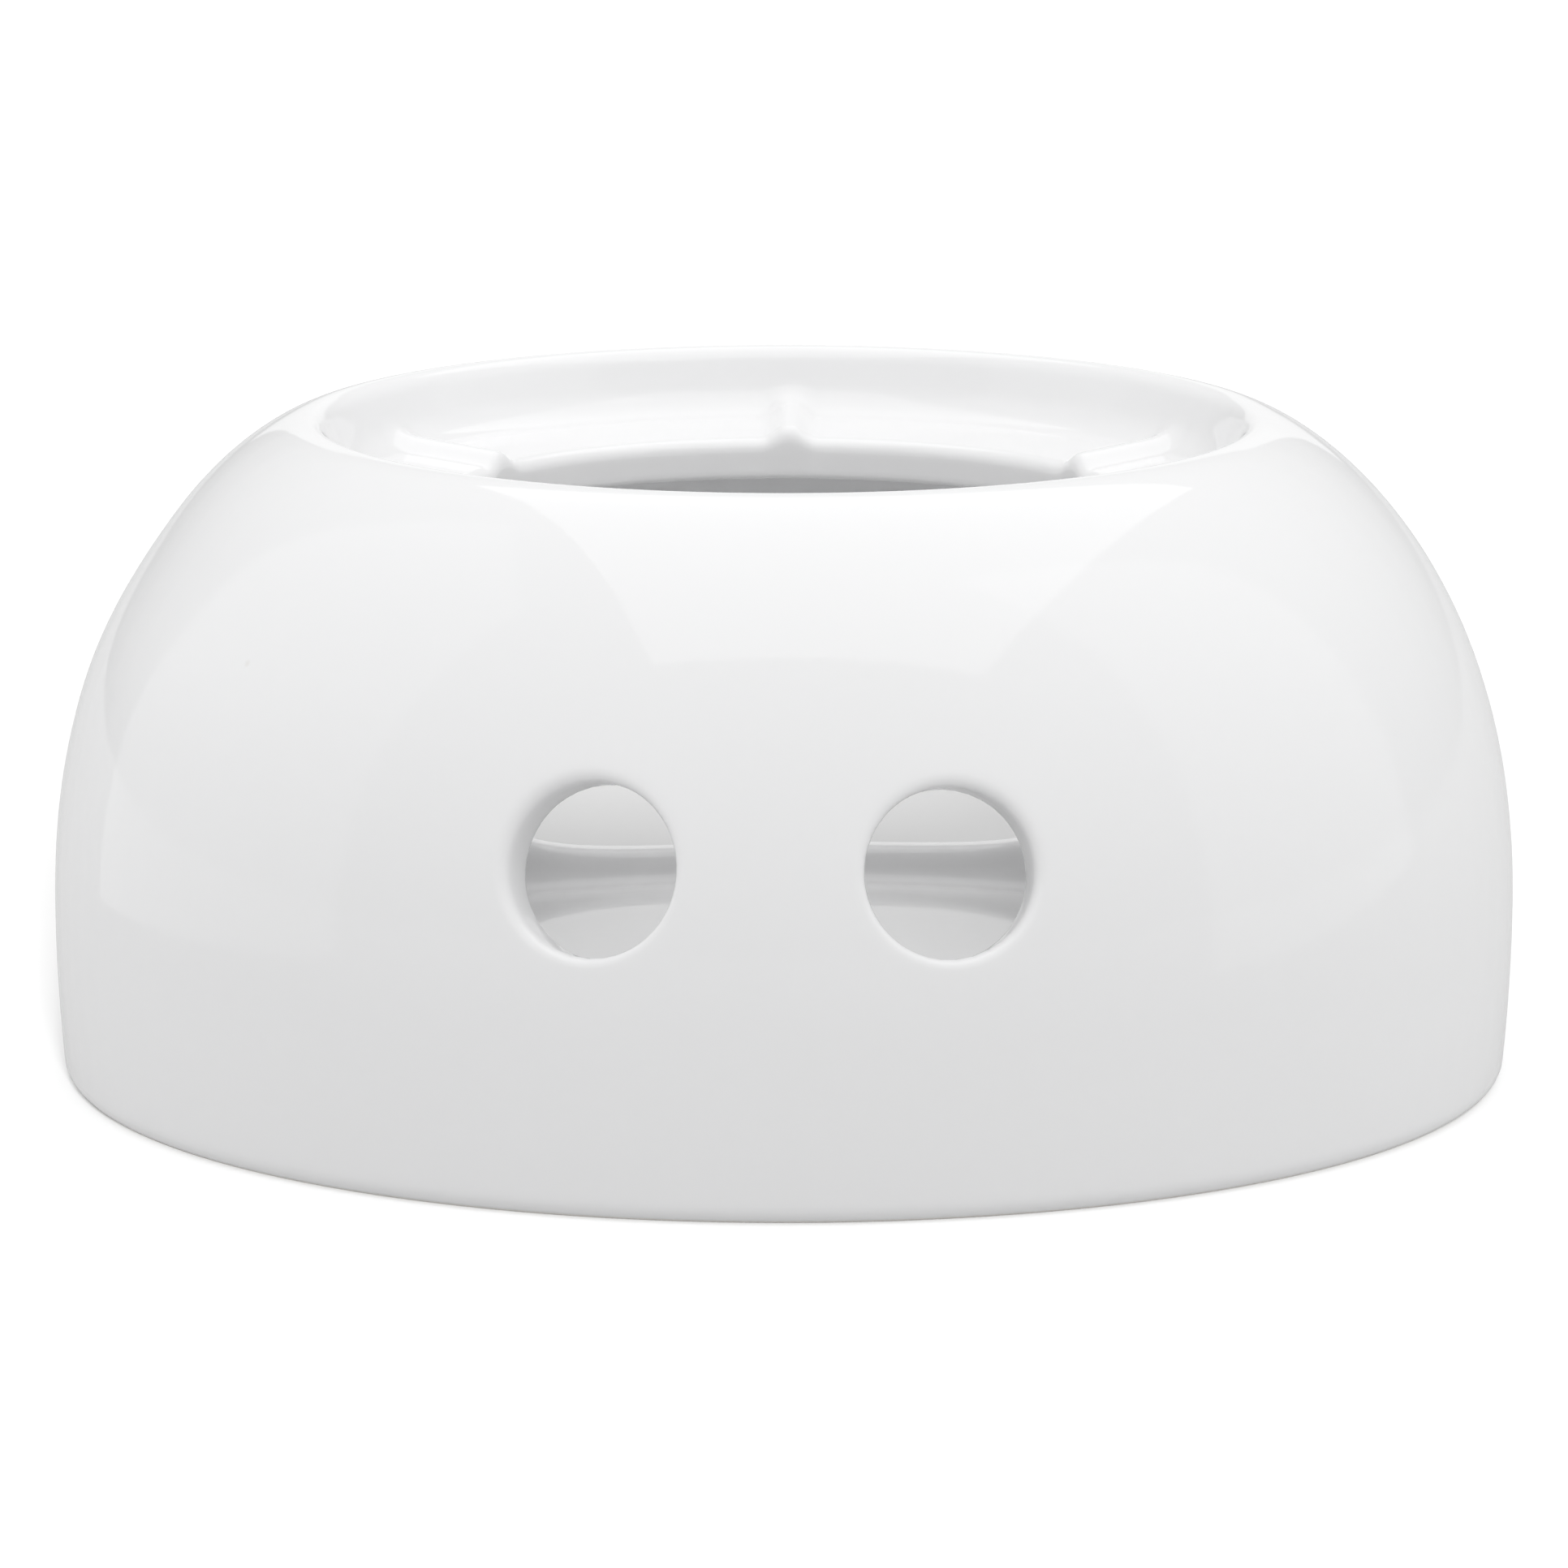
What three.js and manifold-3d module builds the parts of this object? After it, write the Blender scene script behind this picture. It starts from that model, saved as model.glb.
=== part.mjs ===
// A porcelain teapot warmer. A low round dome stands on a turned foot. Its in-turned rim holds a
// sunk seat ring with ribs that carry the pot and let the warm air out. Two air holes face the
// front and a wide opening at the back lets a tealight in on to the floor.
// Millimetres, +Z up, foot on z = 0, air holes towards -Y, back opening towards +Y.

import * as THREE from 'three';
import { mergeVertices } from 'three/addons/utils/BufferGeometryUtils.js';
import Module from 'manifold-3d';

const wasm = await Module();
wasm.setup();

// Outside of the dome
const overallDiameter = 152;
const overallHeight = 68.5;
const bellyHeight = 18.8; // level of the widest circle
const footInset = 0.8; // from the widest circle in to the foot, just above its rounded corner
const footCornerRadius = 2;
const crestDiameter = 98.8; // highest circle of the rim
const shoulderRise = 35.5; // curve handle that keeps the side upright
const shoulderRun = 5; // curve handle that flattens the dome at the crest

// Wall and foot
const wallThickness = 4.2;
const floorThickness = 4.2;
const footRecess = 1.3; // how far the floor's underside clears the table
const footRingWidth = 4;
const footInnerRound = 0.6;
const toeFillet = 4.2; // inside corner between wall and floor

// Recess for the pot, sunk into the crest
const crestInset = 1.3; // from the highest circle in to the recess wall
const crestDrop = 2.4; // height of that rounding
const recessFillet = 2.2;
const ledgeDepth = 8; // crest down to the ledge at the flame opening
const ledgeSlopeDegrees = 6.5; // the ledge rises outwards
const ledgeThickness = 4.2;
const undersideFillet = 6; // inside corner between ledge and dome

// Seat ring, set into the ledge
const flameOpeningDiameter = 68;
const flameEdgeRound = 1.5;
const flameLowerRound = 0.6;
const seatTaper = 1.9; // how much narrower the ring is below than above
const seamClearance = 0.3;

// Ribs on the seat ring
const ribCount = 6;
const firstRibDegrees = 30;
const ribWidth = 5.3; // at the ledge
const ribHeight = 1.6; // above the ledge
const ribCrownWidth = 2;
const ribNoseInset = 0.6; // from the flame opening's wall out to the end of a rib
const ribNoseLength = 1.5; // rounding of that end

// Floor
const floorTaper = 1.9; // how much wider the floor disc is below than above

// Air holes in front
const airHoleDiameter = 17;
const airHoleHeight = 34.9;
const airHoleHalfSpreadDegrees = 14;
const airHoleEdgeRound = 1.6;
const airHoleInnerRound = 0.8;
const airHoleFall = 1.3; // how far a hole runs down on its way in, about square to the wall

// Opening for the tealight at the back, a rounded oval
const backOpeningWidth = 67;
const backOpeningSill = 8.5;
const backOpeningTop = 38.5;
const backOpeningSquareness = 4.6; // exponent of the oval, 2 is an ellipse
const backOpeningEdgeRound = 1.1;
const backOpeningInnerRound = 1.2;

// Fineness of the round forms
const turns = 92;
const airHoleSides = 32;
const backOpeningSides = 48;

const outerRadius = overallDiameter / 2;
const footRadius = outerRadius - footInset;
const crestRadius = crestDiameter / 2;
const recessRadius = crestRadius - crestInset;
const flameRadius = flameOpeningDiameter / 2;
const floorTop = footRecess + floorThickness;
const footRingOuter = footRadius - footCornerRadius;
const footRingInner = footRingOuter - footRingWidth;
const ledgeSlope = THREE.MathUtils.degToRad(ledgeSlopeDegrees);
const ledgeInnerHeight = overallHeight - ledgeDepth;

const glaze = { color: 0xf3f3f2, roughness: 0.12, metalness: 0 };

function point(radius, height) {
  return new THREE.Vector2(radius, height);
}

// Turns a closed three.js geometry into a solid that can be cut and joined
function toSolid(geometry) {
  const bare = geometry.clone();
  bare.deleteAttribute('normal');
  bare.deleteAttribute('uv');
  const merged = mergeVertices(bare, 1e-4);
  const index = merged.index.array;
  const triangles = [];
  for (let i = 0; i < index.length; i += 3) {
    const [a, b, c] = [index[i], index[i + 1], index[i + 2]];
    if (a !== b && b !== c && c !== a) triangles.push(a, b, c);
  }
  return new wasm.Manifold(new wasm.Mesh({
    numProp: 3,
    vertProperties: new Float32Array(merged.attributes.position.array),
    triVerts: new Uint32Array(triangles),
  }));
}

function toMesh(solid, name) {
  const { vertProperties, triVerts } = solid.getMesh();
  const geometry = new THREE.BufferGeometry();
  geometry.setAttribute('position', new THREE.BufferAttribute(new Float32Array(vertProperties), 3));
  geometry.setIndex(new THREE.BufferAttribute(new Uint32Array(triVerts), 1));
  geometry.computeVertexNormals();
  const mesh = new THREE.Mesh(geometry, new THREE.MeshStandardMaterial(glaze));
  mesh.name = name;
  return mesh;
}

// Solid of revolution about Z from a closed outline of (radius, height) that runs anticlockwise
function revolve(outline) {
  const geometry = new THREE.LatheGeometry([...outline, outline[0]], turns);
  geometry.rotateX(Math.PI / 2);
  return toSolid(geometry);
}

// Points of an arc about a centre, angles in radians from the outward direction
function arc(centre, radius, from, to, steps) {
  return Array.from({ length: steps + 1 }, (_, i) => {
    const angle = from + (to - from) * i / steps;
    return point(centre.x + radius * Math.cos(angle), centre.y + radius * Math.sin(angle));
  });
}

// Replaces an outline's corner with an arc, which takes at most a share of the shorter side
function rounded(before, corner, after, wanted, steps = 3, share = 0.45) {
  const back = before.clone().sub(corner);
  const ahead = after.clone().sub(corner);
  const room = share * Math.min(back.length(), ahead.length());
  back.normalize();
  ahead.normalize();
  const half = Math.acos(back.dot(ahead)) / 2;
  const radius = Math.min(wanted, room * Math.tan(half));
  const bisector = back.clone().add(ahead).normalize();
  const centre = corner.clone().addScaledVector(bisector, radius / Math.sin(half));
  const start = corner.clone().addScaledVector(back, radius / Math.tan(half)).sub(centre).angle();
  const end = corner.clone().addScaledVector(ahead, radius / Math.tan(half)).sub(centre).angle();
  const sweep = THREE.MathUtils.euclideanModulo(end - start + Math.PI, 2 * Math.PI) - Math.PI;
  return arc(centre, radius, start, start + sweep, steps);
}

// Value between low and high where a rising function passes through zero
function crossing(rising, low, high) {
  for (let i = 0; i < 40; i += 1) {
    const middle = (low + high) / 2;
    if (rising(middle) > 0) high = middle;
    else low = middle;
  }
  return (low + high) / 2;
}

// Outside of the dome: a gently leaning side up to the belly, then the shoulder up to the crest
const belly = point(outerRadius, bellyHeight);
const crest = point(crestRadius, overallHeight);
const side = new THREE.QuadraticBezierCurve(
  point(footRadius, footCornerRadius),
  point(outerRadius, (footCornerRadius + bellyHeight) / 2),
  belly,
);
const shoulder = new THREE.CubicBezierCurve(
  belly,
  point(outerRadius, bellyHeight + shoulderRise),
  point(crestRadius + shoulderRun, overallHeight),
  crest,
);

// A point of a curve, set in from the outside by the wall's thickness
function inside(curve, t) {
  const along = curve.getTangent(t);
  return curve.getPoint(t).add(point(-along.y, along.x).multiplyScalar(wallThickness));
}

// Heights of the ledge and of its underside, which both rise outwards
function ledgeHeight(radius) {
  return ledgeInnerHeight + (radius - flameRadius) * Math.tan(ledgeSlope);
}

function undersideHeight(radius) {
  return ledgeHeight(radius) - ledgeThickness;
}

// Recess wall and its fillet down to the ledge, set into the open side by a margin
function recessOutline(margin, steps) {
  const radius = recessFillet - margin;
  const centreRadius = recessRadius - recessFillet;
  const lift = (recessFillet + Math.sin(ledgeSlope) * (centreRadius - flameRadius)) / Math.cos(ledgeSlope);
  const centre = point(centreRadius, ledgeInnerHeight + lift);
  return arc(centre, radius, 0, ledgeSlope - Math.PI / 2, steps);
}

// The ring meets the dome's lip at the foot of the recess fillet, on a cone that narrows downwards
const seamTop = recessOutline(0, 1).at(-1);
const seamBottomRadius = seamTop.x - seatTaper;

// Floor disc's edge, a cone that widens downwards to the inside of the foot ring
const floorLowerRadius = footRingInner - footInnerRound;
const floorUpperRadius = floorLowerRadius - floorTaper;

function domeOutline() {
  const ceiling = (t) => inside(shoulder, t).y - undersideHeight(inside(shoulder, t).x);
  const meeting = crossing(ceiling, 0, 1);
  const corner = inside(shoulder, meeting);
  const filletStart = crossing((t) => undersideFillet - inside(shoulder, t).distanceTo(corner), 0, meeting);
  const filletEnd = point(corner.x - undersideFillet, undersideHeight(corner.x - undersideFillet));
  const underside = new THREE.QuadraticBezierCurve(inside(shoulder, filletStart), corner, filletEnd);

  const outside = [
    ...arc(point(footRingOuter, footCornerRadius), footCornerRadius, -Math.PI / 2, 0, 3).slice(0, -1),
    ...side.getPoints(2).slice(0, -1),
    ...shoulder.getPoints(13),
  ];
  const crestRounding = arc(point(0, 0), 1, Math.PI / 2, Math.PI, 4).slice(1).map((p) => (
    point(crestRadius + p.x * crestInset, overallHeight - crestDrop + p.y * crestDrop)
  ));
  const lip = [
    ...crestRounding,
    ...recessOutline(0, 3),
    point(seamBottomRadius, undersideHeight(seamBottomRadius)),
  ];
  const wallInside = Array.from({ length: 9 }, (_, i) => inside(shoulder, filletStart * (8 - i) / 8));
  const wallFoot = point(inside(side, 0.5).x, floorTop);
  const toe = point(floorUpperRadius + seamClearance, floorTop);
  const inner = [
    ...underside.getPoints(3).reverse().slice(0, -1),
    ...wallInside,
    ...rounded(wallInside.at(-1), wallFoot, toe, toeFillet, 4, 0.97),
    toe,
    point(floorLowerRadius + seamClearance, footRecess),
    ...rounded(
      point(footRingInner, footRecess),
      point(footRingInner, 0),
      point(footRingOuter, 0),
      footInnerRound,
      2,
    ),
  ];
  return [...outside, ...lip, ...inner];
}

// Distance of the outside from the axis at a height
function outsideRadius(height) {
  const curve = height < bellyHeight ? side : shoulder;
  return curve.getPoint(crossing((t) => curve.getPoint(t).y - height, 0, 1)).x;
}

// Cutter for an opening in the wall, looking outwards along -Y. The outline of (x, height) keeps
// its size inside the wall and flares along a quarter circle at the outer and the inner surface.
// It falls on its way in. Its two ends are flat and stand well clear of the wall.
function wallCutter(outline, outerRound, innerRound, fall = 0) {
  const clear = 6;
  const flare = (round, depth) => round - Math.sqrt(Math.max(0, round ** 2 - (round - depth) ** 2));
  const surface = (x, height) => Math.sqrt(outsideRadius(height) ** 2 - x ** 2);
  const innerEnd = Math.min(...outline.map((p) => surface(p.x, p.y))) - wallThickness - clear;
  const levels = [];
  levels.push({ grow: outerRound, fallen: 0, distance: () => outerRadius + clear });
  for (const part of [0, 0.15, 0.45, 1]) {
    const depth = part * outerRound;
    levels.push({
      grow: flare(outerRound, depth),
      fallen: fall * depth / wallThickness,
      distance: (x, height) => surface(x, height) - depth,
    });
  }
  for (const part of [1, 0.4, 0]) {
    const depth = wallThickness - part * innerRound;
    levels.push({
      grow: flare(innerRound, part * innerRound),
      fallen: fall * depth / wallThickness,
      distance: (x, height) => surface(x, height) - depth,
    });
  }
  levels.push({ grow: innerRound, fallen: fall, distance: () => innerEnd });

  const count = outline.length;
  const positions = [];
  for (const { grow, fallen, distance } of levels) {
    outline.forEach((p, i) => {
      const along = outline[(i + 1) % count].clone().sub(outline[(i + count - 1) % count]).normalize();
      const grown = point(p.x + along.y * grow, p.y - along.x * grow - fallen);
      positions.push(grown.x, -distance(grown.x, grown.y), grown.y);
    });
  }
  const triangles = [];
  for (let level = 0; level < levels.length - 1; level += 1) {
    for (let i = 0; i < count; i += 1) {
      const a = level * count + i;
      const b = level * count + (i + 1) % count;
      triangles.push(a, b + count, b, a, a + count, b + count);
    }
  }
  const caps = THREE.ShapeUtils.triangulateShape(outline, []);
  const last = (levels.length - 1) * count;
  for (const [a, b, c] of caps) triangles.push(a, b, c, last + a, last + c, last + b);
  const geometry = new THREE.BufferGeometry();
  geometry.setAttribute('position', new THREE.Float32BufferAttribute(positions, 3));
  geometry.setIndex(triangles);
  return toSolid(geometry);
}

function ovalOutline(width, bottom, top, squareness, sides) {
  const power = 2 / squareness;
  return Array.from({ length: sides }, (_, i) => {
    const angle = 2 * Math.PI * i / sides;
    const [c, s] = [Math.cos(angle), Math.sin(angle)];
    const across = Math.sign(c) * Math.abs(c) ** power * width / 2;
    const up = Math.sign(s) * Math.abs(s) ** power * (top - bottom) / 2;
    return point(across, (top + bottom) / 2 + up);
  });
}

function domeShell() {
  const airHole = wallCutter(
    ovalOutline(
      airHoleDiameter,
      airHoleHeight - airHoleDiameter / 2,
      airHoleHeight + airHoleDiameter / 2,
      2,
      airHoleSides,
    ),
    airHoleEdgeRound,
    airHoleInnerRound,
    airHoleFall,
  );
  const backOpening = wallCutter(
    ovalOutline(
      backOpeningWidth,
      backOpeningSill,
      backOpeningTop,
      backOpeningSquareness,
      backOpeningSides,
    ),
    backOpeningEdgeRound,
    backOpeningInnerRound,
  ).rotate([0, 0, 180]);
  let solid = revolve(domeOutline()).subtract(backOpening);
  for (const way of [-1, 1]) {
    solid = solid.subtract(airHole.rotate([0, 0, way * airHoleHalfSpreadDegrees]));
  }
  return toMesh(solid, 'dome_shell');
}

// The clearance is square to the cone, so it is wider when measured level
function levelClearance(taper, height) {
  return seamClearance * Math.hypot(1, taper / height);
}

function seatRing() {
  const clearance = levelClearance(seatTaper, ledgeThickness);
  const outerTop = seamTop.x - clearance;
  const outerBottom = seamBottomRadius - clearance;
  const corners = {
    lowerInner: point(flameRadius, undersideHeight(flameRadius)),
    lowerOuter: point(outerBottom, undersideHeight(outerBottom)),
    upperOuter: point(outerTop, ledgeHeight(outerTop)),
    upperInner: point(flameRadius, ledgeHeight(flameRadius)),
  };
  return toMesh(revolve([
    corners.lowerOuter,
    corners.upperOuter,
    ...rounded(corners.upperOuter, corners.upperInner, corners.lowerInner, flameEdgeRound, 4),
    ...rounded(corners.upperInner, corners.lowerInner, corners.lowerOuter, flameLowerRound, 2),
  ]), 'seat_ring');
}

// Space that the ribs may fill: from the rounded nose by the flame opening, over the ledge and up
// to the recess wall, clear of the ring and the dome by the seam clearance
function ribEnvelope() {
  const ledgeRise = Math.tan(ledgeSlope);
  const noseRadius = flameRadius + ribNoseInset;
  const base = ledgeHeight(noseRadius) + seamClearance / Math.cos(ledgeSlope);
  const crown = ledgeHeight(noseRadius) + ribHeight;
  const nose = arc(point(0, 0), 1, Math.PI / 2, Math.PI, 4).map((p) => point(
    noseRadius + ribNoseLength * (1 + p.x),
    base + (crown - base) * p.y + ribNoseLength * (1 + p.x) * ledgeRise,
  ));
  const crownEnd = point(recessRadius - seamClearance, crown + (recessRadius - noseRadius) * ledgeRise);
  return revolve([...recessOutline(seamClearance, 3).reverse(), crownEnd, ...nose]);
}

// Section of a rib, a rounded crown that runs out on the ledge with hollow flanks
function ribSection() {
  const half = ribWidth / 2;
  const crown = ribCrownWidth / 2;
  const section = new THREE.Shape();
  section.moveTo(-half, -ribHeight);
  section.lineTo(half, -ribHeight);
  section.lineTo(half, 0);
  section.bezierCurveTo((half + crown) / 2, 0, crown * 1.2, ribHeight, 0, ribHeight);
  section.bezierCurveTo(-crown * 1.2, ribHeight, -(half + crown) / 2, 0, -half, 0);
  section.closePath();
  return section;
}

function supportRib(envelope, number) {
  const length = recessRadius - flameRadius;
  const bar = new THREE.ExtrudeGeometry(ribSection(), {
    depth: length,
    steps: 1,
    bevelEnabled: false,
    curveSegments: 6,
  });
  bar.rotateX(Math.PI / 2);
  bar.rotateZ(Math.PI / 2);
  bar.rotateY(-ledgeSlope);
  bar.translate(flameRadius, 0, ledgeInnerHeight);
  const mesh = toMesh(toSolid(bar).intersect(envelope), `support_rib_${number}`);
  mesh.rotation.z = THREE.MathUtils.degToRad(firstRibDegrees + (number - 1) * 360 / ribCount);
  return mesh;
}

function floorDisc() {
  return toMesh(revolve([
    point(0, footRecess),
    point(floorLowerRadius, footRecess),
    point(floorUpperRadius, floorTop),
    point(0, floorTop),
  ]), 'floor_disc');
}

const warmer = new THREE.Group();
warmer.add(domeShell());
warmer.add(floorDisc());
warmer.add(seatRing());

const ribs = new THREE.Group();
const envelope = ribEnvelope();
for (let number = 1; number <= ribCount; number += 1) ribs.add(supportRib(envelope, number));
warmer.add(ribs);

export default warmer;
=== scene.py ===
"""A glazed porcelain teapot warmer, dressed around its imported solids.

The fired ware is one seamless body, so one mesh stands for all the solids. Its skin is a surface
of revolution from pole to pole, with ribs raised out of the ledge and three openings let into the
wall by rings of faces that follow the wall and roll over its edges. The body's sizes are in
millimetres up to the point where its mesh is made, and everything else is in metres.
"""

import math

import bpy
import bmesh
import numpy as np
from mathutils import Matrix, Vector


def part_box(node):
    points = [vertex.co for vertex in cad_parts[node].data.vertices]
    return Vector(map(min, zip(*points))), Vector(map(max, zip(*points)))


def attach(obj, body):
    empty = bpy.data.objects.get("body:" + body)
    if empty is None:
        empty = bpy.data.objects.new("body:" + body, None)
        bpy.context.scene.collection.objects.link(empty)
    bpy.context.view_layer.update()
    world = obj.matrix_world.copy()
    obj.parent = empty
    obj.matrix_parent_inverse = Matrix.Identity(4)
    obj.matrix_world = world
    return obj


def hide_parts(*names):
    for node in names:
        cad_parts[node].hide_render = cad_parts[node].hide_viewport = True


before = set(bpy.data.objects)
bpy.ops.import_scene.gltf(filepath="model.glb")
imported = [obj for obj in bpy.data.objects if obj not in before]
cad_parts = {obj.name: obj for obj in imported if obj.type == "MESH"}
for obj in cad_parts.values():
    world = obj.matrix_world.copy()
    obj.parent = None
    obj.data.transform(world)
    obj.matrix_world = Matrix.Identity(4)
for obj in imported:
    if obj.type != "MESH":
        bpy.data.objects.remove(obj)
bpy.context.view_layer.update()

MM = 0.001

# Outside of the dome, whose belly lies just inside that of the solids
BELLY_CLEARANCE = 0.06
BELLY_HEIGHT = 18.8
FOOT_TUCK = 0.8
FOOT_CORNER = 2.0
CREST_RADIUS = 49.4
SHOULDER_RISE = 35.5
SHOULDER_RUN = 5.0

# Wall, floor and foot. The step leads from the floor's underside down to the foot ring
WALL = 4.2
FLOOR_UNDERSIDE = 1.3
FLOOR_TOP = 5.5
FOOT_RING_WIDTH = 4.0
FOOT_STEP_ACROSS = 0.4
FOOT_STEP_DOWN = 0.35
FOOT_INNER_ROUND = 0.6
TOE_FILLET = 4.2

# Recess for the pot and the ledge in it
CREST_INSET = 2.1
CREST_DROP = 2.8
RECESS_DRAFT = math.radians(20)
RECESS_FILLET = 5.0
LEDGE_DEPTH = 8.0
LEDGE_SLOPE = math.radians(6.5)
LEDGE_THICKNESS = 4.2
UNDERSIDE_FILLET = 6.0
FLAME_RADIUS = 34.0
FLAME_EDGE_ROUND = 1.5
FLAME_LOWER_ROUND = 0.6

# Ribs, which stand where the potter set them and not quite 60 degrees apart
RIB_AZIMUTHS = [28.5, 90.0, 151.8, 210.0, 270.0, 330.0]
RIB_SKEW = [0.0, 0.0, 3.4, 0.0, 0.0, 0.0]
RIB_HALF_WIDTH = 2.15
RIB_HEIGHT = 1.38
RIB_NOSE_START = 1.8
RIB_NOSE_LENGTH = 2.6

# Ribs' blend with the skin, which widens over a reach before the recess wall. Up to the first
# distance from the flame opening a rib rises straight up, and from the second square to the skin
RIB_BLEND = 0.95
RIB_WALL_BLEND = 1.9
RIB_WALL_REACH = 5.0
RIB_UPRIGHT_TO = 3.0
RIB_SQUARE_FROM = 7.0
RIB_MOST_SWELL = 5.0
RIB_HALVINGS = 30

# A form sags a little in the fire: the left shoulder lies this much further in
SAG = 0.5
SAG_HEIGHT = 55.0
SAG_REACH = 8.0
SAG_FADE = 6.0

# Openings in the wall: azimuth, centre height, half width and height, squareness of the outline,
# rounding of the outer and inner edge, shift of the inner edge across and up, and tilt
LEFT_HOLE = dict(
    azimuth=-104.2, height=35.0, across=8.5, up=8.45, squareness=2.0, outer=1.2, inner=0.8,
    lean=(1.45, -1.35), tilt=0)
RIGHT_HOLE = dict(
    azimuth=-76.25, height=34.8, across=8.5, up=8.25, squareness=2.0, outer=1.2, inner=0.8,
    lean=(-0.3, -1.3), tilt=0)
BACK_OPENING = dict(
    azimuth=90.75, height=23.65, across=33.5, up=14.9, squareness=4.6, outer=0.7, inner=1.8,
    lean=(0.0, 0.0), tilt=-0.7)

# Rows of the mesh: radii of the flat stretches, margins of the standing ring's two rows, and
# heights up the side. The wall has as many rows inside as outside, because openings join them
UNDERSIDE_RADII = (3, 12, 24, 38, 52, 62, 67)
FLOOR_RADII = (65, 58, 48, 36, 24, 12, 3)
RING_INNER_MARGIN = 1.4
RING_OUTER_MARGIN = 0.6
LOWER_SIDE_LEVELS = (2.8, 3.8)
WALL_ROWS = 30
SHOULDER_ROWS = 30
WALL_TOP = 48.0
OUTER_LEVELS = np.linspace(5.0, WALL_TOP, WALL_ROWS)
INNER_LEVELS = np.linspace(6.3, WALL_TOP, WALL_ROWS)

# Angle in degrees of the toe fillet's first row below the wall's lowest inner level
TOE_ROWS_START = -58

# Lines of the mesh: the degrees of a sector from rib to rib, and the steps between lines over its
# first half, in proportion
SECTOR = 60
LINE_STEPS = [0.42] * 13 + [
    0.5, 0.6, 0.75, 0.9, 1.1, 1.3, 1.5, 1.7, 1.9, 2.0, 2.0, 2.0, 2.1, 2.1]

# Windows in the grid for the openings: their margin, the radius at which their width is measured,
# the parts of the way to the opening's edge where rings lie, and the rings' angles over the edge
WINDOW_MARGIN = 3.4
WINDOW_RADIUS = 72.0
RING_PLACES = (0.3, 0.58, 0.82)
EDGE_ANGLES = np.radians(np.linspace(0, 90, 6))

# Glaze. Its slow waves and finer peel have heights in metres, and its specks' radii are parts of
# the cells that they lie in
GLAZE_COLOUR = (0.925, 0.926, 0.931, 1.0)
GLAZE_DRIFT = (0.919, 0.920, 0.924, 1.0)
GLAZE_ROUGHNESS = (0.035, 0.06)
GLAZE_WAVES = 0.00006
GLAZE_PEEL = 0.000006
SPECK_SCALE = 55
SPECK_RADII = (0.012, 0.028)
SPECK_SHARE = 0.12
SPECK_COLOUR = (0.55, 0.47, 0.38, 1.0)

# The standing ring was wiped free of glaze: bare below the first height, glazed above the second
BARE_HEIGHTS = (0.30 * MM, 0.42 * MM)
BARE_COLOURS = ((0.80, 0.775, 0.73, 1.0), (0.86, 0.84, 0.80, 1.0))
BARE_ROUGHNESS = 0.62
BARE_GRAIN = 0.00003

# Camera, at the photograph's viewing angle. Lens and sensor are in millimetres
CAMERA_AIM = Vector((0, 0, 29.7 * MM))
CAMERA_DISTANCE = 1.1168
CAMERA_ELEVATION = math.radians(10.876)
CAMERA_TURN = math.radians(0.9)
CAMERA_LENS = 246
CAMERA_SENSOR = 36
CAMERA_CLIP = (0.05, 20)

# Floor: how pale it is to the camera, in a reflection, and for the light that it throws back
FLOOR_REACH = 4.0
FLOOR_SEEN = 0.55
FLOOR_MIRRORED = 0.335
FLOOR_BOUNCE = 0.32

# The key only lights the floor, where it brings the white and casts the shadow behind
KEY = 3.6
KEY_ANGLE = math.radians(14)
KEY_PLACE = Vector((0.10, -1.8, 0.50))

# Cards, which only show as reflections: place, direction faced, width, length and radiance
CARDS = {
    "overhead_card": ((0.0875, 0.10, 0.70), (0, 0, -1), 0.68, 1.15, 0.8),
    "left_card": ((-0.211, -0.027, 0.20), (0.94, -0.34, 0), 0.212, 0.40, 0.26),
    "right_card": ((0.37, 0.04, 0.30), (-0.69, 0.72, 0), 0.46, 0.60, 0.3),
    "behind_card": ((0.0, 1.5, 0.36), (0, -1, 0), 0.70, 0.52, 0.33),
}

# What the sky shows in reflections: an even grey that dips in one corner
GLOSS_SKY = 0.54
GLOSS_DIP = 0.12
DIM_CORNER = (-0.52, 0.85, -0.05)
DIM_NARROWNESS = 16

# The light that falls from the sky: lobes, each with its direction, narrowness and strength
SKY_LOBES = (
    ((0.0, -0.68, 0.73), 6, 0.5),
    ((0.0, -0.34, 0.94), 6, 1.70),
    ((1.0, 0.0, 0.0), 1, 1.05),
    ((-1.0, 0.0, 0.0), 1, 0.92),
    ((0.0, 1.0, 0.0), 1, 0.95),
)

shell_low, shell_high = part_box("dome_shell")
belly_radius = -shell_low.y / MM - BELLY_CLEARANCE
foot_radius = belly_radius - FOOT_TUCK
top_height = shell_high.z / MM
ledge_inner_height = top_height - LEDGE_DEPTH
crest_end = math.pi - math.atan(CREST_DROP * math.tan(RECESS_DRAFT) / CREST_INSET)
recess_radius = CREST_RADIUS + CREST_INSET * math.cos(crest_end)
recess_top = top_height - CREST_DROP * (1 - math.sin(crest_end))
foot_ring_outer = foot_radius - FOOT_CORNER
foot_ring_inner = foot_ring_outer - FOOT_RING_WIDTH


def bezier(points, t):
    """Points of a quadratic or cubic curve, one row for each value of t."""
    rows = [np.array(p, float)[None, :] for p in points]
    t = np.asarray(t, float)[:, None]
    while len(rows) > 1:
        rows = [a * (1 - t) + b * t for a, b in zip(rows, rows[1:])]
    return rows[0]


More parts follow.
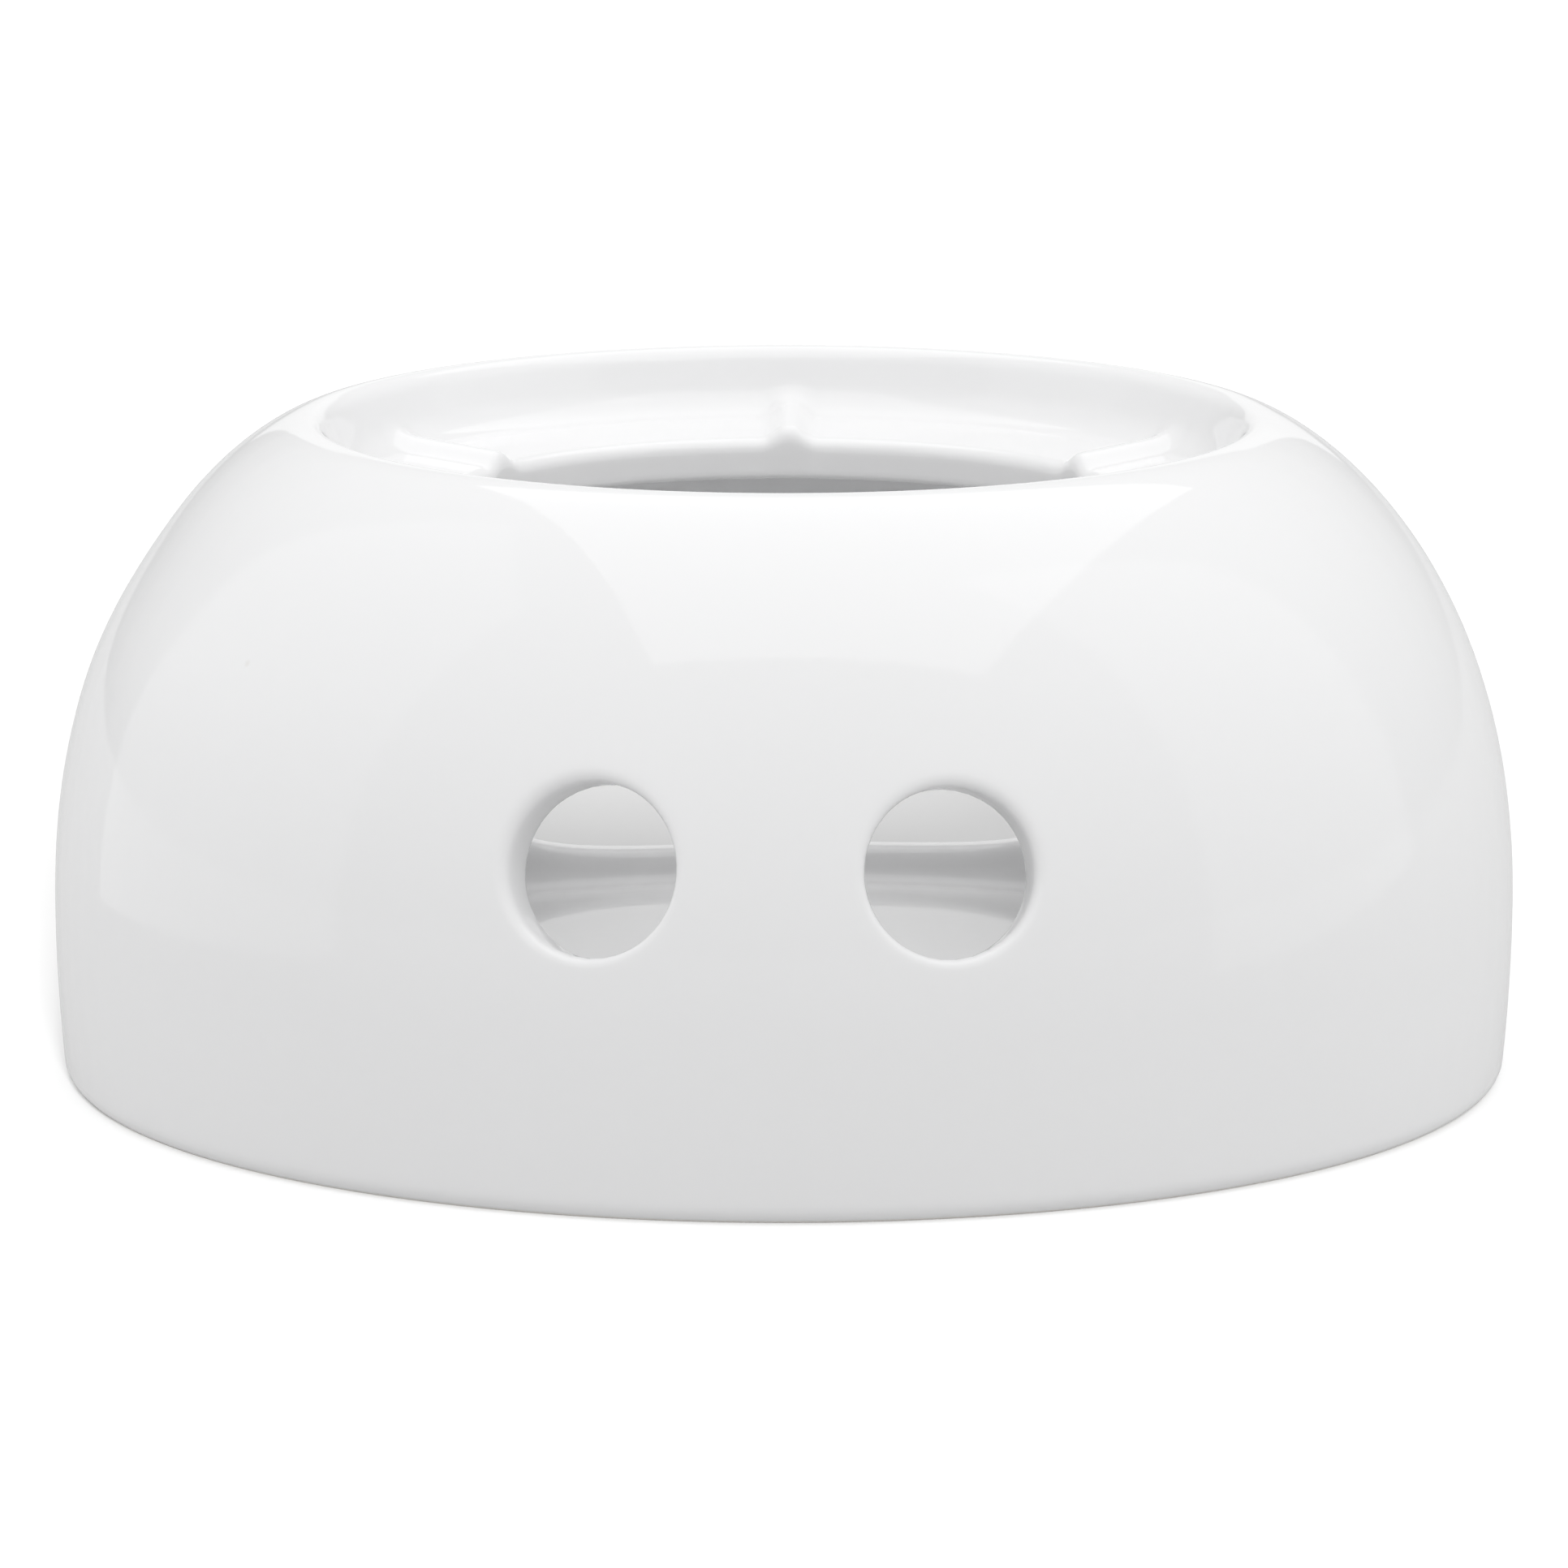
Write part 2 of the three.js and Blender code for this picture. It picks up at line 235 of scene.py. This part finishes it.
def arc(centre, radius, start, end, steps):
    """Points of an arc between two angles in degrees. An ellipse has two radii, across and up."""
    angles = np.radians(np.linspace(start, end, steps + 1))
    across, up = np.atleast_1d(radius) * np.ones(2)
    return np.stack([centre[0] + across * np.cos(angles), centre[1] + up * np.sin(angles)], 1)


def inset(points, distance):
    """The curve through the points, moved to its left."""
    along = np.gradient(points, axis=0)
    along /= np.linalg.norm(along, axis=1)[:, None]
    return points + distance * np.stack([-along[:, 1], along[:, 0]], 1)


def smooth_step(value, low, high):
    """0 below low and 1 above high, with a smooth rise between them."""
    part = np.clip((value - low) / (high - low), 0, 1)
    return part * part * (3 - 2 * part)


def nearest(values, target):
    """Number of the value that is closest to the target."""
    return int(np.argmin(np.abs(values - target)))


# The outside from the foot's corner to the crest, and the inside at the wall's thickness from it
fine = np.linspace(0, 1, 4001)
side = bezier([
    (foot_radius, FOOT_CORNER),
    (belly_radius, (FOOT_CORNER + BELLY_HEIGHT) / 2),
    (belly_radius, BELLY_HEIGHT),
], fine)
shoulder = bezier([
    (belly_radius, BELLY_HEIGHT),
    (belly_radius, BELLY_HEIGHT + SHOULDER_RISE),
    (CREST_RADIUS + SHOULDER_RUN, top_height),
    (CREST_RADIUS, top_height),
], fine)
outside = np.concatenate([side, shoulder[1:]])
inside = inset(outside, WALL)

# The toe fillet, where the inside of the wall meets the floor
toe_height = FLOOR_TOP + TOE_FILLET
toe_centre = (np.interp(toe_height, inside[:, 1], inside[:, 0]) - TOE_FILLET, toe_height)
toe = arc(toe_centre, TOE_FILLET, -89, 0, steps=200)
inside_wall = np.concatenate([toe, inside[inside[:, 1] > toe_height]])


def outer_radius(height):
    """Radius of the wall's outside at a height."""
    return np.interp(height, outside[:, 1], outside[:, 0])


def inner_radius(height):
    """Radius of the wall's inside at a height, the toe fillet included."""
    return np.interp(height, inside_wall[:, 1], inside_wall[:, 0])


def ledge_height(radius):
    """Height of the ledge's upper side, which rises outwards."""
    return ledge_inner_height + (radius - FLAME_RADIUS) * math.tan(LEDGE_SLOPE)


def under_ledge_height(radius):
    """Height of the ledge's underside."""
    return ledge_height(radius) - LEDGE_THICKNESS


def recess_fillet():
    """Rows of the fillet between the leaning recess wall and the sloping ledge."""
    slope, draft = math.tan(LEDGE_SLOPE), math.tan(RECESS_DRAFT)
    lift = RECESS_FILLET / math.cos(LEDGE_SLOPE)
    drop = recess_top - ledge_height(0) - lift
    reach = recess_radius - drop * draft - RECESS_FILLET / math.cos(RECESS_DRAFT)
    centre_radius = reach / (1 - slope * draft)
    centre = (centre_radius, ledge_height(centre_radius) + lift)
    return arc(centre, RECESS_FILLET, -math.degrees(RECESS_DRAFT), math.degrees(LEDGE_SLOPE) - 90,
               steps=10)


def underside_corner():
    """The corner under the ledge, between the points where its softening starts and ends."""
    upper_inside = inside[inside[:, 1] > WALL_TOP]
    above_ledge = upper_inside[:, 1] > under_ledge_height(upper_inside[:, 0])
    corner = upper_inside[np.argmax(above_ledge)]
    away = np.linalg.norm(upper_inside - corner, axis=1)
    dome_end = upper_inside[(away > UNDERSIDE_FILLET) & ~above_ledge][-1]
    ledge_end = corner[0] - UNDERSIDE_FILLET
    return (ledge_end, under_ledge_height(ledge_end)), corner, dome_end


def profile():
    """The section from the pole under the floor round to the pole on the floor, as rows of
    (radius, height), and the number of each stretch's first row."""
    stretches = []
    first = {}

    def add(name, rows):
        first[name] = sum(len(s) for s in stretches)
        stretches.append(np.asarray(rows, float))

    # The underside, the standing ring and the outside up to the crest
    add("underside", [(r, FLOOR_UNDERSIDE) for r in UNDERSIDE_RADII])
    add("foot", np.concatenate([
        [(foot_ring_inner - FOOT_STEP_ACROSS, FLOOR_UNDERSIDE),
         (foot_ring_inner, FLOOR_UNDERSIDE - FOOT_STEP_DOWN)],
        arc((foot_ring_inner + FOOT_INNER_ROUND, FOOT_INNER_ROUND), FOOT_INNER_ROUND, 180, 270,
            steps=3),
        [(foot_ring_inner + RING_INNER_MARGIN, 0), (foot_ring_outer - RING_OUTER_MARGIN, 0)],
        arc((foot_ring_outer, FOOT_CORNER), FOOT_CORNER, -90, 0, steps=6),
    ]))
    add("lower_side", [(outer_radius(z), z) for z in LOWER_SIDE_LEVELS])
    add("outer_wall", [(outer_radius(z), z) for z in OUTER_LEVELS])
    above = np.linspace(np.interp(WALL_TOP, shoulder[:, 1], fine), 1, SHOULDER_ROWS)[1:]
    add("shoulder", np.stack([np.interp(above, fine, column) for column in shoulder.T], 1))
    add("crest", arc((CREST_RADIUS, top_height - CREST_DROP), (CREST_INSET, CREST_DROP),
                     90, math.degrees(crest_end), steps=9)[1:])

    # The recess wall, the ledge and the two edges of the flame opening
    fillet = recess_fillet()
    top = np.array([recess_radius, recess_top])
    add("recess_wall", [top + (fillet[0] - top) * k / 3 for k in (1, 2)])
    add("recess_fillet", fillet)
    edge_radius = FLAME_RADIUS + FLAME_EDGE_ROUND
    radii = np.linspace(fillet[-1, 0], edge_radius, 14)[1:]
    add("ledge", [(r, ledge_height(r)) for r in radii])
    upper = ledge_height(edge_radius) - FLAME_EDGE_ROUND
    lower = under_ledge_height(FLAME_RADIUS) + FLAME_LOWER_ROUND
    add("flame_edge", arc((edge_radius, upper), FLAME_EDGE_ROUND, 90, 180, steps=7)[1:])
    add("flame_wall", [(FLAME_RADIUS, upper + (lower - upper) * k / 5) for k in (1, 2, 3, 4)])
    add("flame_lower_edge", arc(
        (FLAME_RADIUS + FLAME_LOWER_ROUND, lower), FLAME_LOWER_ROUND, 180, 270, steps=3))

    # The ledge's underside, the inside of the dome and the floor that the tealight stands on
    ledge_end, corner, dome_end = underside_corner()
    radii = np.linspace(FLAME_RADIUS + FLAME_LOWER_ROUND, ledge_end[0], 8)[1:-1]
    add("ledge_underside", [(r, under_ledge_height(r)) for r in radii])
    add("underside_fillet", bezier([ledge_end, corner, dome_end], np.linspace(0, 1, 7)))
    levels = np.linspace(dome_end[1], WALL_TOP, 6)[1:-1]
    add("inner_shoulder", [(inner_radius(z), z) for z in levels])
    add("inner_wall", [(inner_radius(z), z) for z in INNER_LEVELS[::-1]])
    add("toe", arc(toe_centre, TOE_FILLET, TOE_ROWS_START, -90, steps=5))
    add("floor", [(r, FLOOR_TOP) for r in FLOOR_RADII])
    return np.concatenate(stretches), first


def azimuth_lines():
    """Azimuths of the mesh's lines: close together over each rib and wider between ribs."""
    offsets = np.concatenate([[0], np.cumsum(LINE_STEPS)])
    offsets *= SECTOR / 2 / offsets[-1]
    sector = np.concatenate([offsets[:-1], SECTOR - offsets[:0:-1]]) / SECTOR
    ends = RIB_AZIMUTHS[1:] + [RIB_AZIMUTHS[0] + 360]
    return np.concatenate([start + (end - start) * sector for start, end in zip(RIB_AZIMUTHS, ends)])


def from_nearest_rib(azimuths):
    """Degrees from the nearest rib's middle, and the skew of that rib."""
    offset = (azimuths[:, None] - np.array(RIB_AZIMUTHS)[None, :] + 180) % 360 - 180
    rib = np.argmin(np.abs(offset), axis=1)
    return offset[np.arange(len(azimuths)), rib], np.array(RIB_SKEW)[rib]


def above_rib(radius, height, offset, skew):
    """Distance, about, above the ribs' surface: a rounded crown whose flanks run on downwards."""
    nose = np.clip((FLAME_RADIUS + RIB_NOSE_START - radius) / RIB_NOSE_LENGTH, 0, 1)
    rise = RIB_HEIGHT * np.sqrt(1 - nose ** 2)
    turned = offset - skew * ((radius - FLAME_RADIUS) / (recess_radius - FLAME_RADIUS) - 0.5)
    across = np.abs(radius * np.sin(np.radians(turned))) / RIB_HALF_WIDTH
    fall = np.where(across < 1, across ** 2, 2 * across - 1)
    steepness = 2 * rise * np.minimum(across, 1) / RIB_HALF_WIDTH
    return (height - ledge_height(radius) - rise * (1 - fall)) / np.hypot(1, steepness)


def rib_swell(radius, height, out_r, out_z, offset, skew):
    """How far the skin moves along its outward direction to blend with the ribs, by halving."""
    widening = smooth_step(radius, recess_radius - RIB_WALL_REACH, recess_radius)
    blend = RIB_BLEND + (RIB_WALL_BLEND - RIB_BLEND) * widening
    low = np.zeros(np.broadcast(radius, offset).shape)
    high = low + RIB_MOST_SWELL
    for _ in range(RIB_HALVINGS):
        middle = (low + high) / 2
        rib = above_rib(radius + middle * out_r, height + middle * out_z, offset, skew)
        overlap = np.maximum(blend - np.abs(middle - rib), 0)
        clear = np.minimum(middle, rib) - overlap ** 2 / (4 * blend) > 0
        high = np.where(clear, middle, high)
        low = np.where(clear, low, middle)
    return high


def raise_ribs(rows, first, azimuths, radius, height):
    """Let ribs swell out of the recess wall, its fillet and the ledge, and lift the flame
    opening's edge. The grid's radius and height are changed in place."""
    offset, skew = from_nearest_rib(azimuths)
    top = slice(first["recess_wall"], first["flame_edge"])
    along = np.gradient(rows[:first["flame_edge"] + 2], axis=0)[top]
    out = np.stack([along[:, 1], -along[:, 0]], 1)
    upright = 1 - smooth_step(rows[top, 0], FLAME_RADIUS + RIB_UPRIGHT_TO, FLAME_RADIUS + RIB_SQUARE_FROM)
    out = out / np.linalg.norm(out, axis=1)[:, None] * (1 - upright)[:, None]
    out[:, 1] += upright
    out /= np.linalg.norm(out, axis=1)[:, None]
    swell = rib_swell(radius[top], height[top], out[:, :1], out[:, 1:], offset, skew)
    radius[top] += swell * out[:, :1]
    height[top] += swell * out[:, 1:]

    edge = slice(first["flame_edge"], first["flame_wall"])
    lifted = rib_swell(radius[edge], ledge_height(radius[edge]), 0, 1, offset, skew)
    height[edge] += lifted
    wall = slice(first["flame_wall"], first["flame_lower_edge"])
    share = np.linspace(1, 0, wall.stop - wall.start + 2)[1:-1, None]
    height[wall] += lifted[-1] * share


def turned_skin(rows, first, azimuths):
    """The skin before openings are cut, as a grid of points: one row round for each row of the
    section, and one line for each azimuth."""
    radius = np.repeat(rows[:, :1], len(azimuths), 1)
    height = np.repeat(rows[:, 1:], len(azimuths), 1)
    raise_ribs(rows, first, azimuths, radius, height)
    turn = np.radians(azimuths)
    leftness = np.maximum(-np.cos(turn), 0) ** 2
    sag = SAG * leftness * np.exp(-((height - SAG_HEIGHT) / SAG_REACH) ** 2)
    radius -= sag * smooth_step(radius, CREST_RADIUS, CREST_RADIUS + SAG_FADE)
    return np.stack([radius * np.cos(turn), radius * np.sin(turn), height], 2)


def opening_outline(opening, angle):
    """Point of an opening's outline in the direction of the angle, and the outward normal."""
    power = opening["squareness"]
    tilt = math.radians(opening["tilt"])
    c, s = np.cos(angle - tilt), np.sin(angle - tilt)
    scale = (np.abs(c) ** power + np.abs(s) ** power) ** (-1 / power)
    point = np.stack([opening["across"] * c * scale, opening["up"] * s * scale], 1)
    slope = np.stack([
        np.sign(c) * np.abs(c * scale) ** (power - 1) / opening["across"],
        np.sign(s) * np.abs(s * scale) ** (power - 1) / opening["up"],
    ], 1)
    turn = np.array([[math.cos(tilt), math.sin(tilt)], [-math.sin(tilt), math.cos(tilt)]])
    return point @ turn, (slope / np.linalg.norm(slope, axis=1)[:, None]) @ turn


def window_border(low, high, left, right):
    """Border of a window in the grid, once round, as pairs of level and line."""
    border = [(low, i) for i in range(left, right)]
    border += [(j, right) for j in range(low, high)]
    border += [(high, i) for i in range(right, left, -1)]
    border += [(j, left) for j in range(high, low, -1)]
    return border


class BodyShape:
    """Points and faces of the body: the skin's grid, and rings of points that line openings."""

    def __init__(self):
        rows, self.first = profile()
        self.azimuths = azimuth_lines()
        self.skin = turned_skin(rows, self.first, self.azimuths)
        self.points = list(self.skin.reshape(-1, 3))
        self.index = np.arange(len(self.points)).reshape(self.skin.shape[:2])
        self.open_cells = np.zeros(self.index.shape, bool)
        self.faces = []

    def add_ring(self, ring_points):
        """The numbers that the ring's new points get."""
        start = len(self.points)
        self.points.extend(ring_points)
        return np.arange(start, start + len(ring_points))

    def bridge(self, a, b):
        """Faces between two rings that have as many points."""
        for k in range(len(a)):
            n = (k + 1) % len(a)
            self.faces.append((a[k], a[n], b[n], b[k]))

    def window(self, opening):
        """Lowest and highest level and leftmost and rightmost line round an opening."""
        reach = opening["up"] + WINDOW_MARGIN
        bottom = max(opening["height"] - reach, OUTER_LEVELS[0])
        spread = math.degrees(math.asin((opening["across"] + WINDOW_MARGIN) / WINDOW_RADIUS))
        middle = opening["azimuth"] % 360
        return (
            nearest(OUTER_LEVELS, bottom), nearest(OUTER_LEVELS, opening["height"] + reach),
            nearest(self.azimuths, middle - spread), nearest(self.azimuths, middle + spread))

    def cut(self, opening):
        """Take a window out of both sides of the wall, and fill it with rings that roll over the
        opening's outer edge, go through the wall and roll over the inner edge."""
        first_outer = self.first["outer_wall"]
        last_inner = self.first["inner_wall"] + WALL_ROWS - 1
        low, high, left, right = self.window(opening)
        self.open_cells[first_outer + low:first_outer + high, left:right] = True
        self.open_cells[last_inner - high:last_inner - low, left:right] = True
        border = window_border(low, high, left, right)

        azimuth = math.radians(opening["azimuth"])
        outward = np.array([math.cos(azimuth), math.sin(azimuth), 0])
        sideways = np.array([-math.sin(azimuth), math.cos(azimuth), 0])
        upward = np.array([0, 0, 1.0])

        def on_wall(flat_points, surface, depth):
            """Points of the opening's own plane, set on the wall and sunk into it."""
            z = flat_points[:, 1] + opening["height"]
            away = np.sqrt(surface(z) ** 2 - flat_points[:, 0] ** 2) - depth
            return flat_points[:, :1] * sideways + away[:, None] * outward + z[:, None] * upward

        def rim(border, surface, rounding, wall_side, lean, lean_step):
            """Rings from the window's border to the opening, then over its rounded edge. The wall's
            side is 1 outside and -1 inside, and the lean changes by its step for each mm of depth."""
            edge = np.array([
                (self.skin[p] @ sideways, self.skin[p][2] - opening["height"]) for p in border])
            angle = np.arctan2((edge[:, 1] - lean[1]) / opening["up"],
                               (edge[:, 0] - lean[0]) / opening["across"])
            outline, normal = opening_outline(opening, angle)
            brim = outline + normal * rounding + lean
            rings = [np.array([self.index[p] for p in border])]
            for part in RING_PLACES:
                rings.append(self.add_ring(on_wall(edge + (brim - edge) * part, surface, 0)))
            for turned in EDGE_ANGLES:
                grow = rounding * (1 - math.sin(turned))
                depth = rounding * (1 - math.cos(turned))
                flat_points = outline + normal * grow + (lean + lean_step * depth)
                rings.append(self.add_ring(on_wall(flat_points, surface, wall_side * depth)))
            return rings

        lean = np.array(opening["lean"], float)
        outer = rim([(first_outer + level, line) for level, line in border],
                    outer_radius, opening["outer"], 1, lean * 0, lean / WALL)
        inner = rim([(last_inner - level, line) for level, line in border],
                    inner_radius, opening["inner"], -1, lean, -lean / WALL)
        start, end = (np.array([self.points[k] for k in rings[-1]]) for rings in (outer, inner))
        through = [self.add_ring(start * (1 - part) + end * part) for part in (1 / 3, 2 / 3)]
        rings = outer + through + inner[::-1]
        for a, b in zip(rings, rings[1:]):
            self.bridge(a, b)

    def close(self):
        """Add the faces of the grid that no window took, and a fan round each pole."""
        row_count, line_count = self.index.shape
        for j in range(row_count - 1):
            for i in range(line_count):
                if not self.open_cells[j, i]:
                    n = (i + 1) % line_count
                    self.faces.append((
                        self.index[j, i], self.index[j, n], self.index[j + 1, n], self.index[j + 1, i]))
        for row, pole_height in ((0, FLOOR_UNDERSIDE), (-1, FLOOR_TOP)):
            pole = self.add_ring([np.array([0, 0, pole_height])])[0]
            ring = self.index[row]
            self.faces += [(a, b, pole) for a, b in zip(ring, np.roll(ring, -1))]


def add_object(name, data):
    """A new object of the scene."""
    made = bpy.data.objects.new(name, data)
    bpy.context.scene.collection.objects.link(made)
    return made


def build_body():
    """The body's object, its mesh in metres."""
    shape = BodyShape()
    for opening in (LEFT_HOLE, RIGHT_HOLE, BACK_OPENING):
        shape.cut(opening)
    shape.close()
    mesh = bpy.data.meshes.new("glazed_body")
    mesh.from_pydata([tuple(float(v) * MM for v in p) for p in shape.points], [],
                     [tuple(map(int, f)) for f in shape.faces])

    # The grid's points within a window have no faces left
    work = bmesh.new()
    work.from_mesh(mesh)
    loose = [v for v in work.verts if not v.link_faces]
    bmesh.ops.delete(work, geom=loose, context="VERTS")
    bmesh.ops.recalc_face_normals(work, faces=work.faces)
    work.to_mesh(mesh)
    work.free()
    mesh.shade_smooth()
    return add_object("glazed_body", mesh)


def glaze_material():
    """Clear glaze over white porcelain: a faint drift of tone and gloss, a slow unevenness with a
    finer orange peel in it, a few faint specks, and a bare, rough and creamier standing ring."""
    material = bpy.data.materials.new("glazed_porcelain")
    material.use_nodes = True
    tree = material.node_tree
    shader = tree.nodes["Principled BSDF"]
    shader.inputs["IOR"].default_value = 1.5
    place = tree.nodes.new("ShaderNodeTexCoord").outputs["Object"]

    def noise(scale, detail):
        node = tree.nodes.new("ShaderNodeTexNoise")
        node.inputs["Scale"].default_value = scale
        node.inputs["Detail"].default_value = detail
        tree.links.new(place, node.inputs["Vector"])
        return node.outputs["Fac"]

    def spread(value, span, result):
        """The value's span stretched to the result's two ends, and held there beyond it."""
        node = tree.nodes.new("ShaderNodeMapRange")
        tree.links.new(value, node.inputs["Value"])
        for name, number in zip(("From Min", "From Max", "To Min", "To Max"), span + result):
            node.inputs[name].default_value = number
        return node.outputs["Result"]

    def blend(factor, first, second, kind="RGBA"):
        node = tree.nodes.new("ShaderNodeMix")
        node.data_type = kind
        sockets = [s for s in node.inputs if s.enabled]
        for socket, value in zip(sockets, (factor, first, second)):
            if isinstance(value, (tuple, float)):
                socket.default_value = value
            else:
                tree.links.new(value, socket)
        return [s for s in node.outputs if s.enabled][0]

    def bump(height, distance, below=None):
        """A bump as high as the distance, on top of the one below it."""
        node = tree.nodes.new("ShaderNodeBump")
        node.inputs["Strength"].default_value = 1.0
        node.inputs["Distance"].default_value = distance
        tree.links.new(height, node.inputs["Height"])
        if below is not None:
            tree.links.new(below.outputs[0], node.inputs["Normal"])
        return node

    drift = spread(noise(scale=14, detail=2), (0.35, 0.65), (0.0, 1.0))
    cells = tree.nodes.new("ShaderNodeTexVoronoi")
    cells.inputs["Scale"].default_value = SPECK_SCALE
    tree.links.new(place, cells.inputs["Vector"])
    speck = spread(cells.outputs["Distance"], SPECK_RADII, (SPECK_SHARE, 0.0))
    glaze_colour = blend(speck, blend(drift, GLAZE_COLOUR, GLAZE_DRIFT), SPECK_COLOUR)

    level = tree.nodes.new("ShaderNodeSeparateXYZ")
    tree.links.new(place, level.inputs[0])
    bare = spread(level.outputs["Z"], BARE_HEIGHTS, (1.0, 0.0))
    grain = spread(noise(scale=2600, detail=3), (0.3, 0.7), (0.0, 1.0))
    bare_colour = blend(grain, *BARE_COLOURS)
    tree.links.new(blend(bare, glaze_colour, bare_colour), shader.inputs["Base Color"])
    gloss = spread(noise(scale=40, detail=3), (0.3, 0.7), GLAZE_ROUGHNESS)
    tree.links.new(blend(bare, gloss, BARE_ROUGHNESS, "FLOAT"), shader.inputs["Roughness"])

    waves = bump(noise(scale=55, detail=1), GLAZE_WAVES)
    peel = bump(noise(scale=420, detail=2), GLAZE_PEEL, below=waves)
    rough = bump(grain, BARE_GRAIN, below=peel)
    tree.links.new(bare, rough.inputs["Strength"])
    tree.links.new(rough.outputs[0], shader.inputs["Normal"])
    return material


def floor_material():
    """A pale matt floor, which is palest to the camera."""
    material = bpy.data.materials.new("pale_floor")
    material.use_nodes = True
    tree = material.node_tree
    tree.nodes.clear()
    path = tree.nodes.new("ShaderNodeLightPath")

    def matt(value):
        node = tree.nodes.new("ShaderNodeBsdfDiffuse")
        node.inputs["Color"].default_value = (value, value, value, 1)
        return node.outputs[0]

    answer = matt(FLOOR_BOUNCE)
    for ray, value in (
        ("Is Glossy Ray", FLOOR_MIRRORED),
        ("Is Transmission Ray", FLOOR_MIRRORED),
        ("Is Camera Ray", FLOOR_SEEN),
    ):
        mix = tree.nodes.new("ShaderNodeMixShader")
        tree.links.new(path.outputs[ray], mix.inputs["Fac"])
        tree.links.new(answer, mix.inputs[1])
        tree.links.new(matt(value), mix.inputs[2])
        answer = mix.outputs[0]
    output = tree.nodes.new("ShaderNodeOutputMaterial")
    tree.links.new(answer, output.inputs["Surface"])
    return material


def stand(thing, place, direction):
    """Stand a camera or lamp at a place and turn it towards a direction, with its width level."""
    thing.location = place
    thing.rotation_euler = Vector(direction).to_track_quat("-Z", "Y").to_euler()


def add_camera():
    """The camera, which stands a little to the right of the front."""
    data = bpy.data.cameras.new("camera")
    data.lens = CAMERA_LENS
    data.sensor_width = CAMERA_SENSOR
    data.clip_start, data.clip_end = CAMERA_CLIP
    camera = add_object("camera", data)
    back = Vector((
        math.sin(CAMERA_TURN) * math.cos(CAMERA_ELEVATION),
        -math.cos(CAMERA_TURN) * math.cos(CAMERA_ELEVATION),
        math.sin(CAMERA_ELEVATION),
    ))
    stand(camera, CAMERA_AIM + back * CAMERA_DISTANCE, -back)
    return camera


def add_key(lit):
    """A sun that lights only the object given."""
    light = bpy.data.lights.new("floor_key", "SUN")
    light.energy = KEY * math.pi
    light.angle = KEY_ANGLE
    key = add_object("floor_key", light)
    stand(key, KEY_PLACE, -KEY_PLACE)
    key.visible_glossy = False
    only = bpy.data.collections.new("only_floor")
    only.objects.link(lit)
    key.light_linking.receiver_collection = only


def add_card(name, place, direction, across, along, radiance):
    """A rectangular lamp of an even radiance, which is only seen as a reflection."""
    light = bpy.data.lights.new(name, "AREA")
    light.shape = "RECTANGLE"
    light.size = across
    light.size_y = along
    light.energy = radiance * math.pi * across * along
    card = add_object(name, light)
    stand(card, place, direction)
    card.visible_camera = False
    card.visible_diffuse = False


def sky():
    """White for the camera, a grey that dips in one corner for reflections, and lobes of light
    for the rest."""
    world = bpy.data.worlds.new("world")
    world.use_nodes = True
    tree = world.node_tree
    tree.nodes.clear()
    direction = tree.nodes.new("ShaderNodeTexCoord").outputs["Generated"]
    path = tree.nodes.new("ShaderNodeLightPath")

    def math_node(operation, first, second):
        node = tree.nodes.new("ShaderNodeMath")
        node.operation = operation
        for socket, value in zip(node.inputs, (first, second)):
            if isinstance(value, (int, float)):
                socket.default_value = value
            else:
                tree.links.new(value, socket)
        return node.outputs[0]

    def lobe(aim, narrowness, strength):
        toward = tree.nodes.new("ShaderNodeVectorMath")
        toward.operation = "DOT_PRODUCT"
        tree.links.new(direction, toward.inputs[0])
        toward.inputs[1].default_value = aim
        facing = math_node("MAXIMUM", toward.outputs["Value"], 0)
        return math_node("MULTIPLY", math_node("POWER", facing, narrowness), strength)

    def background(strength):
        node = tree.nodes.new("ShaderNodeBackground")
        node.inputs["Color"].default_value = (1, 1, 1, 1)
        if isinstance(strength, float):
            node.inputs["Strength"].default_value = strength
        else:
            tree.links.new(strength, node.inputs["Strength"])
        return node.outputs[0]

    def choose(factor, otherwise, chosen):
        node = tree.nodes.new("ShaderNodeMixShader")
        tree.links.new(factor, node.inputs["Fac"])
        tree.links.new(otherwise, node.inputs[1])
        tree.links.new(chosen, node.inputs[2])
        return node.outputs[0]

    level = 0.0
    for sky_lobe in SKY_LOBES:
        level = math_node("ADD", level, lobe(*sky_lobe))
    grey = math_node("SUBTRACT", GLOSS_SKY, lobe(DIM_CORNER, DIM_NARROWNESS, GLOSS_DIP))
    passed_on = math_node("MAXIMUM", path.outputs["Is Glossy Ray"], path.outputs["Is Transmission Ray"])
    answer = choose(passed_on, background(level), background(grey))
    answer = choose(path.outputs["Is Camera Ray"], answer, background(1.0))
    output = tree.nodes.new("ShaderNodeOutputWorld")
    tree.links.new(answer, output.inputs["Surface"])
    return world


body = build_body()
body.data.materials.append(glaze_material())
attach(body, "root")
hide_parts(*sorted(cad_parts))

bpy.context.scene.camera = add_camera()

floor_mesh = bpy.data.meshes.new("floor")
floor_mesh.from_pydata(
    [(-FLOOR_REACH, -FLOOR_REACH, 0), (FLOOR_REACH, -FLOOR_REACH, 0),
     (FLOOR_REACH, FLOOR_REACH, 0), (-FLOOR_REACH, FLOOR_REACH, 0)], [], [(0, 1, 2, 3)])
floor_mesh.materials.append(floor_material())
floor = add_object("floor", floor_mesh)

add_key(floor)
for card_name, card in CARDS.items():
    add_card(card_name, *card)
bpy.context.scene.world = sky()

bpy.context.scene.view_settings.view_transform = "Standard"
